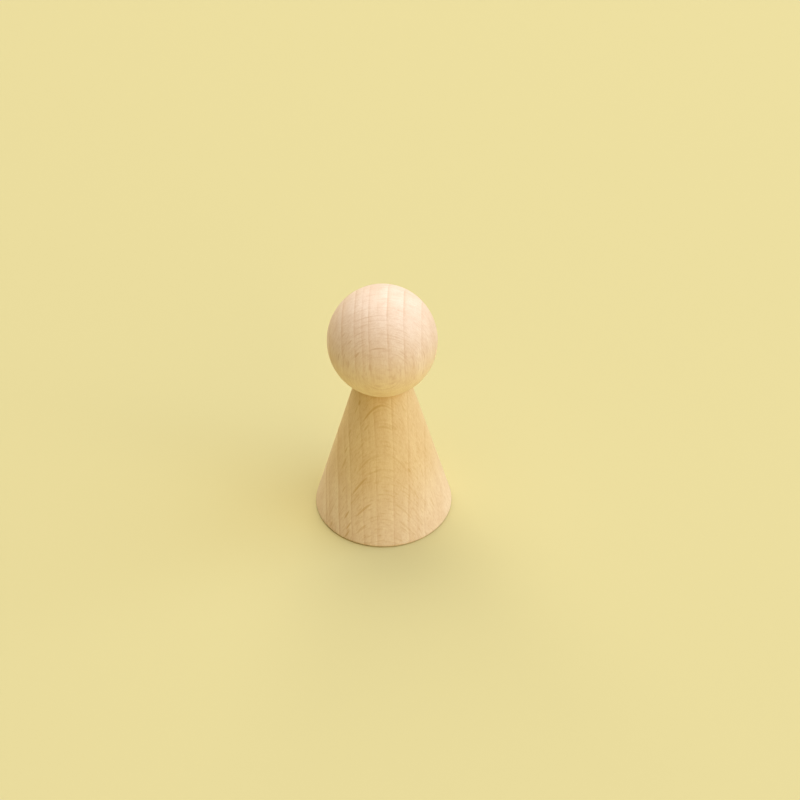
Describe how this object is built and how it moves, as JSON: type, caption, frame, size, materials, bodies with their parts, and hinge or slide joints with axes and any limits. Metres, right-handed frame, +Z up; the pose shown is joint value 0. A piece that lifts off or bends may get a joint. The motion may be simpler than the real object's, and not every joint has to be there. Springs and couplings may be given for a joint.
{
  "type": "game pawn",
  "caption": "Plain turned wooden playing figure: a slightly tall ball head glued on a straight-sided cone body with a flat foot.",
  "frame": {"origin": "centre of the flat foot, on the surface the figure stands on", "axes": "+Z up the turning axis from the foot to the top of the head; -Y is the side that faces the viewer"},
  "size_m": [0.0268, 0.0268, 0.05],
  "materials": {
    "turned_beech": "bare, fine sanded, matt",
    "dowel_beech": "bare, fluted, matt"
  },
  "bodies": {
    "root": {"cone_body": "turned_beech", "ball_head": "turned_beech", "neck_dowel": "dowel_beech"}
  },
  "joints": []
}
